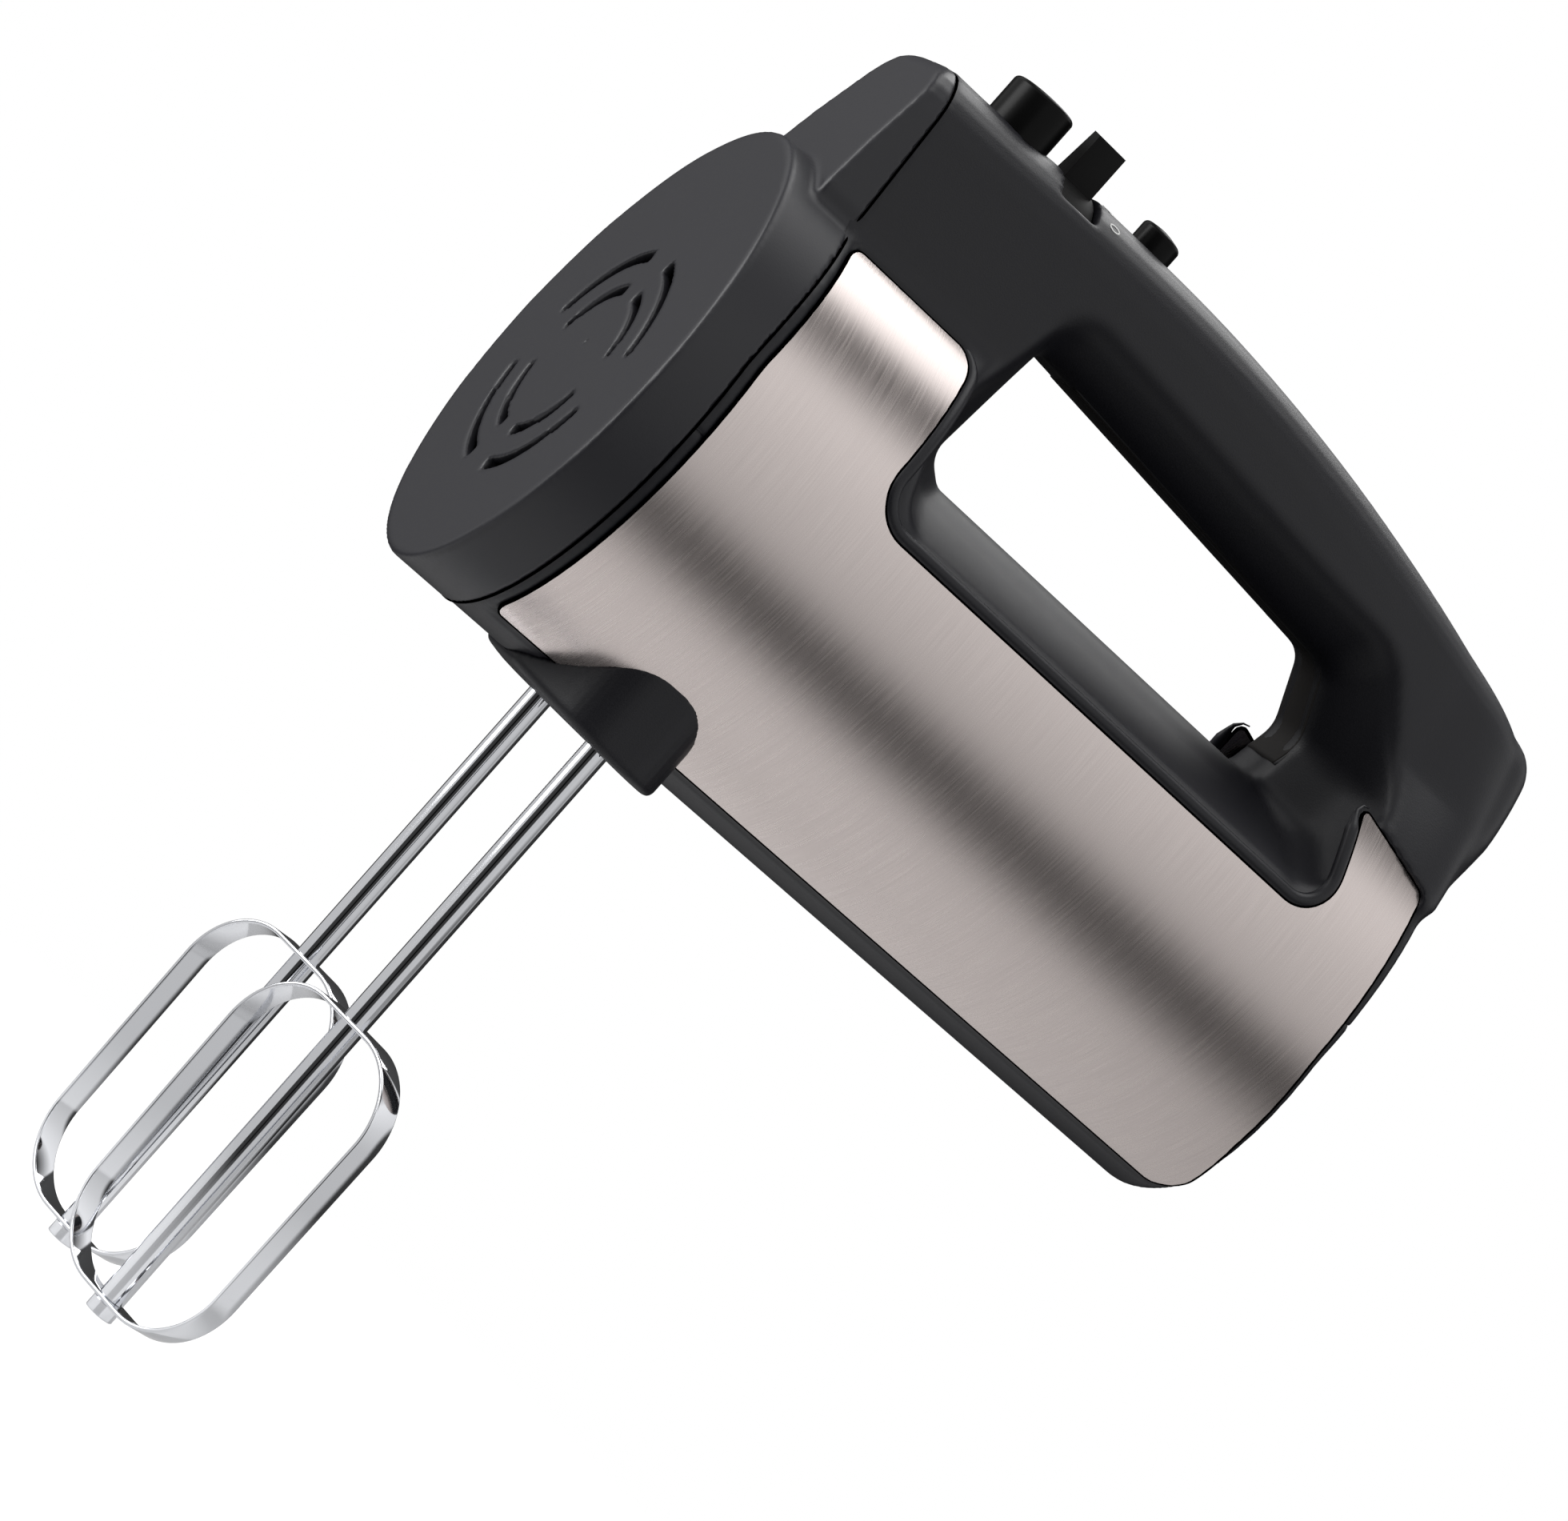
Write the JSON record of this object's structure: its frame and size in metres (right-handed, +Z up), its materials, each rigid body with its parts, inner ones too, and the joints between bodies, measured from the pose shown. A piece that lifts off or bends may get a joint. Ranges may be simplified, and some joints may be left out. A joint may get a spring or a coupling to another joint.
{
  "type": "hand mixer",
  "caption": "Electric hand mixer with an oval body, steel side panels, a closed handle with top controls and removable strap beaters.",
  "frame": {"origin": "midway between the two beater axes, on the flat bottom of the socket collar", "axes": "+Z up, the beaters hang along -Z; -X is the vented front, +X the tail with the cord inlet; -Y is the left side"},
  "size_m": [0.2324, 0.0908, 0.3188],
  "materials": {
    "matt_black": "fine-textured matt moulding",
    "satin_black": "satin moulding",
    "strip_grey": "matt moulding",
    "button_black": "semi-gloss moulding",
    "brushed_steel": "upright brushed grain",
    "chrome": "polished",
    "plain_steel": "turned or zinc-plated",
    "cream_plastic": "natural nylon",
    "inner_black": "plain moulding",
    "board_green": "lacquered board",
    "cast_metal": "die-cast",
    "bronze": "sintered bronze or brass",
    "lamination": "stacked sheet steel",
    "copper": "enamelled copper wire",
    "carbon": "pressed carbon",
    "rubber_black": "matt"
  },
  "bodies": {
    "casing": {"front_cap": "satin_black", "upper_housing": "matt_black", "motor_housing": "matt_black", "handle_cover": "strip_grey", "steel_panel_left": "brushed_steel", "steel_panel_right": "brushed_steel", "socket_collar": "matt_black", "ejector_spring": "plain_steel", "lever_pivot": "plain_steel", "speed_switch": "cream_plastic", "control_board": "board_green", "turbo_spring": "plain_steel", "turbo_switch": "inner_black", "gearbox_base": "cast_metal", "gearbox_cover": "cast_metal", "spindle_bushes": "bronze", "front_bearing": "plain_steel", "middle_bearing": "plain_steel", "rear_bearing": "plain_steel", "stator_core": "lamination", "field_coils": "copper", "motor_bracket": "cast_metal", "brush_holders": "bronze", "carbon_brushes": "carbon", "brush_springs": "plain_steel", "cord_gland": "rubber_black", "cord_clamp": "cream_plastic", "clamp_screws": "plain_steel", "housing_screws": "plain_steel", "gearbox_screws": "plain_steel", "motor_screws": "plain_steel"},
    "armature": {"armature_shaft": "plain_steel", "armature_core": "lamination", "armature_windings": "copper", "commutator": "bronze", "cooling_fan": "inner_black"},
    "left_spindle": {"spindle_left": "plain_steel", "drive_gear_left": "cream_plastic"},
    "right_spindle": {"spindle_right": "plain_steel", "drive_gear_right": "cream_plastic"},
    "left_beater": {"beater_shaft_left": "chrome", "beater_strap_left": "chrome"},
    "right_beater": {"beater_shaft_right": "chrome", "beater_strap_right": "chrome"},
    "ejector": {"eject_button": "button_black", "eject_rod": "plain_steel", "ejector_plate": "cream_plastic"},
    "speed_selector": {"speed_lever": "button_black"},
    "turbo_key": {"turbo_button": "button_black"}
  },
  "joints": [
    {"name": "armature_spin", "type": "hinge", "parent": "casing", "child": "armature", "pos_m": [0.074, 0, 0.052], "axis": [1, 0, 0], "continuous": true},
    {"name": "left_spindle_spin", "type": "hinge", "parent": "casing", "child": "left_spindle", "pos_m": [0, -0.02175, 0.05], "axis": [0, 0, 1], "continuous": true},
    {"name": "right_spindle_spin", "type": "hinge", "parent": "casing", "child": "right_spindle", "pos_m": [0, 0.02175, 0.05], "axis": [0, 0, 1], "continuous": true},
    {"name": "left_beater_eject", "type": "slide", "parent": "left_spindle", "child": "left_beater", "axis": [0, 0, -1], "range_m": [0, 0.0055]},
    {"name": "right_beater_eject", "type": "slide", "parent": "right_spindle", "child": "right_beater", "axis": [0, 0, -1], "range_m": [0, 0.0055]},
    {"name": "eject_press", "type": "slide", "parent": "casing", "child": "ejector", "axis": [0, 0, -1], "range_m": [0, 0.0055], "stiffness_N_per_m": 600, "springref_m": -0.004, "deforming": ["ejector_spring"]},
    {"name": "speed_select", "type": "hinge", "parent": "casing", "child": "speed_selector", "pos_m": [0.004, 0, 0.1396], "axis": [-1, 0, 0], "range_deg": [0, 40]},
    {"name": "turbo_press", "type": "slide", "parent": "casing", "child": "turbo_key", "axis": [0, 0, -1], "range_m": [0, 0.0025], "stiffness_N_per_m": 500, "springref_m": -0.002, "deforming": ["turbo_spring"]}
  ],
  "couplings": [
    {"joint": "left_spindle_spin", "follows": "armature_spin", "ratio": -0.066667},
    {"joint": "right_spindle_spin", "follows": "armature_spin", "ratio": 0.066667},
    {"joint": "left_beater_eject", "follows": "eject_press", "ratio": 1},
    {"joint": "right_beater_eject", "follows": "eject_press", "ratio": 1}
  ]
}
